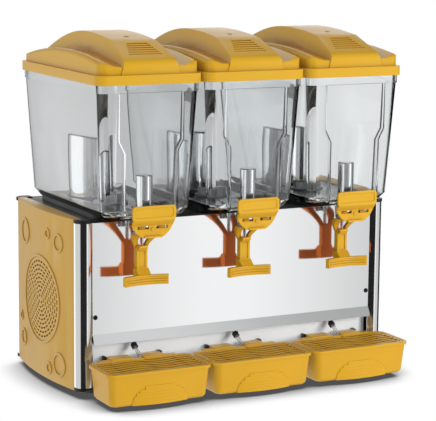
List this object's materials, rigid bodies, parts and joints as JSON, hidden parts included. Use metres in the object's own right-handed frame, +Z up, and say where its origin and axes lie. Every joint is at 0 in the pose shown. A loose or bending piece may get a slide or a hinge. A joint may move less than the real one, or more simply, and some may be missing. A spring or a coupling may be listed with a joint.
{
  "type": "cold drink dispenser",
  "caption": "Countertop cold drink dispenser: clear bowls with domed lids over steel cooling cylinders, push levers that open the taps, and removable drip trays",
  "frame": {"origin": "on the floor, under the middle of the overall box", "axes": "+X to the right seen from the front, +Y to the back, +Z up"},
  "size_m": [0.66, 0.431, 0.643],
  "materials": {
    "lid_yellow": "satin moulded yellow-orange plastic",
    "panel_orange": "satin moulded orange plastic",
    "clear_bowl": "clear polycarbonate",
    "bright_steel": "polished stainless sheet",
    "post_chrome": "polished trim",
    "pale_paint": "pale satin enamel",
    "black_plastic": "black moulded plastic",
    "black_rubber": "soft black rubber",
    "dark_paint": "black enamel",
    "grey_paint": "grey enamel",
    "fin_aluminium": "bare fins",
    "copper": "bare copper pipe",
    "white_plastic": "white moulded plastic",
    "clear_tube": "clear flexible tube",
    "red_plastic": "red moulded plastic",
    "green_plastic": "green moulded plastic"
  },
  "bodies": {
    "cabinet": {"base_pan": "dark_paint", "feet": "black_rubber", "front_panel": "bright_steel", "kick_panel": "pale_paint", "panel_screws": "black_plastic", "left_side_panel": "panel_orange", "right_side_panel": "panel_orange", "front_posts": "post_chrome", "rear_posts": "post_chrome", "post_top_caps": "black_plastic", "post_foot_caps": "black_plastic", "top_deck": "black_plastic", "rear_panel": "bright_steel", "cable_gland": "black_plastic", "switch_bezels": "black_plastic", "evaporator_seals": "black_rubber", "stirrer_motors": "grey_paint", "compressor": "dark_paint", "condenser": "fin_aluminium", "fan_shroud": "dark_paint", "fan_motor": "grey_paint", "refrigerant_pipes": "copper", "control_box": "grey_paint", "drain_grommets": "black_rubber", "drain_tubes": "clear_tube", "tray_hooks": "black_plastic", "evaporator_left": "bright_steel", "evaporator_centre": "bright_steel", "evaporator_right": "bright_steel"},
    "fan": {"fan_blades": "white_plastic"},
    "cooling_switch": {"cooling_rocker": "red_plastic"},
    "stirring_switch": {"stirring_rocker": "green_plastic"},
    "bowl_left_set": {"bowl_left": "clear_bowl", "lever_pin_left": "bright_steel"},
    "lid_left_set": {"lid_left": "lid_yellow"},
    "lever_left_set": {"lever_left": "lid_yellow"},
    "plunger_left_set": {"plunger_left": "bright_steel", "valve_seal_left": "black_rubber"},
    "stirrer_left_set": {"stirrer_left": "white_plastic"},
    "tray_left_set": {"tray_left": "lid_yellow"},
    "grid_left_set": {"grid_left": "lid_yellow"},
    "bowl_centre_set": {"bowl_centre": "clear_bowl", "lever_pin_centre": "bright_steel"},
    "lid_centre_set": {"lid_centre": "lid_yellow"},
    "lever_centre_set": {"lever_centre": "lid_yellow"},
    "plunger_centre_set": {"plunger_centre": "bright_steel", "valve_seal_centre": "black_rubber"},
    "stirrer_centre_set": {"stirrer_centre": "white_plastic"},
    "tray_centre_set": {"tray_centre": "lid_yellow"},
    "grid_centre_set": {"grid_centre": "lid_yellow"},
    "bowl_right_set": {"bowl_right": "clear_bowl", "lever_pin_right": "bright_steel"},
    "lid_right_set": {"lid_right": "lid_yellow"},
    "lever_right_set": {"lever_right": "lid_yellow"},
    "plunger_right_set": {"plunger_right": "bright_steel", "valve_seal_right": "black_rubber"},
    "stirrer_right_set": {"stirrer_right": "white_plastic"},
    "tray_right_set": {"tray_right": "lid_yellow"},
    "grid_right_set": {"grid_right": "lid_yellow"}
  },
  "joints": [
    {"name": "fan_spin", "type": "hinge", "parent": "cabinet", "child": "fan", "pos_m": [-0.2235, 0.0435, 0.128], "axis": [1, 0, 0], "continuous": true},
    {"name": "cooling_switch_rock", "type": "hinge", "parent": "cabinet", "child": "cooling_switch", "pos_m": [0.195, 0.1975, 0.268], "axis": [1, 0, 0], "range_deg": [-8, 8]},
    {"name": "stirring_switch_rock", "type": "hinge", "parent": "cabinet", "child": "stirring_switch", "pos_m": [0.232, 0.1975, 0.268], "axis": [1, 0, 0], "range_deg": [-8, 8]},
    {"name": "bowl_left_lift", "type": "slide", "parent": "cabinet", "child": "bowl_left_set", "axis": [0, 0, 1], "range_m": [0, 0.15]},
    {"name": "lid_left_lift", "type": "slide", "parent": "bowl_left_set", "child": "lid_left_set", "axis": [0, 0, 1], "range_m": [0, 0.12]},
    {"name": "lever_left_push", "type": "hinge", "parent": "bowl_left_set", "child": "lever_left_set", "pos_m": [-0.205, -0.1645, 0.308], "axis": [1, 0, 0], "range_deg": [0, 12]},
    {"name": "plunger_left_rise", "type": "slide", "parent": "bowl_left_set", "child": "plunger_left_set", "axis": [0, 0, 1], "range_m": [0, 0.0085]},
    {"name": "stirrer_left_spin", "type": "hinge", "parent": "bowl_left_set", "child": "stirrer_left_set", "pos_m": [-0.205, 0.0035, 0.336], "axis": [0, 0, 1], "continuous": true},
    {"name": "tray_left_pull", "type": "slide", "parent": "cabinet", "child": "tray_left_set", "axis": [0, -1, 0], "range_m": [0, 0.13]},
    {"name": "grid_left_lift", "type": "slide", "parent": "tray_left_set", "child": "grid_left_set", "axis": [0, 0, 1], "range_m": [0, 0.08]},
    {"name": "bowl_centre_lift", "type": "slide", "parent": "cabinet", "child": "bowl_centre_set", "axis": [0, 0, 1], "range_m": [0, 0.15]},
    {"name": "lid_centre_lift", "type": "slide", "parent": "bowl_centre_set", "child": "lid_centre_set", "axis": [0, 0, 1], "range_m": [0, 0.12]},
    {"name": "lever_centre_push", "type": "hinge", "parent": "bowl_centre_set", "child": "lever_centre_set", "pos_m": [0, -0.1645, 0.308], "axis": [1, 0, 0], "range_deg": [0, 12]},
    {"name": "plunger_centre_rise", "type": "slide", "parent": "bowl_centre_set", "child": "plunger_centre_set", "axis": [0, 0, 1], "range_m": [0, 0.0085]},
    {"name": "stirrer_centre_spin", "type": "hinge", "parent": "bowl_centre_set", "child": "stirrer_centre_set", "pos_m": [0, 0.0035, 0.336], "axis": [0, 0, 1], "continuous": true},
    {"name": "tray_centre_pull", "type": "slide", "parent": "cabinet", "child": "tray_centre_set", "axis": [0, -1, 0], "range_m": [0, 0.13]},
    {"name": "grid_centre_lift", "type": "slide", "parent": "tray_centre_set", "child": "grid_centre_set", "axis": [0, 0, 1], "range_m": [0, 0.08]},
    {"name": "bowl_right_lift", "type": "slide", "parent": "cabinet", "child": "bowl_right_set", "axis": [0, 0, 1], "range_m": [0, 0.15]},
    {"name": "lid_right_lift", "type": "slide", "parent": "bowl_right_set", "child": "lid_right_set", "axis": [0, 0, 1], "range_m": [0, 0.12]},
    {"name": "lever_right_push", "type": "hinge", "parent": "bowl_right_set", "child": "lever_right_set", "pos_m": [0.205, -0.1645, 0.308], "axis": [1, 0, 0], "range_deg": [0, 12]},
    {"name": "plunger_right_rise", "type": "slide", "parent": "bowl_right_set", "child": "plunger_right_set", "axis": [0, 0, 1], "range_m": [0, 0.0085]},
    {"name": "stirrer_right_spin", "type": "hinge", "parent": "bowl_right_set", "child": "stirrer_right_set", "pos_m": [0.205, 0.0035, 0.336], "axis": [0, 0, 1], "continuous": true},
    {"name": "tray_right_pull", "type": "slide", "parent": "cabinet", "child": "tray_right_set", "axis": [0, -1, 0], "range_m": [0, 0.13]},
    {"name": "grid_right_lift", "type": "slide", "parent": "tray_right_set", "child": "grid_right_set", "axis": [0, 0, 1], "range_m": [0, 0.08]}
  ],
  "couplings": [
    {"joint": "plunger_left_rise", "follows": "lever_left_push", "m_per_rad": 0.039},
    {"joint": "plunger_centre_rise", "follows": "lever_centre_push", "m_per_rad": 0.039},
    {"joint": "plunger_right_rise", "follows": "lever_right_push", "m_per_rad": 0.039}
  ]
}
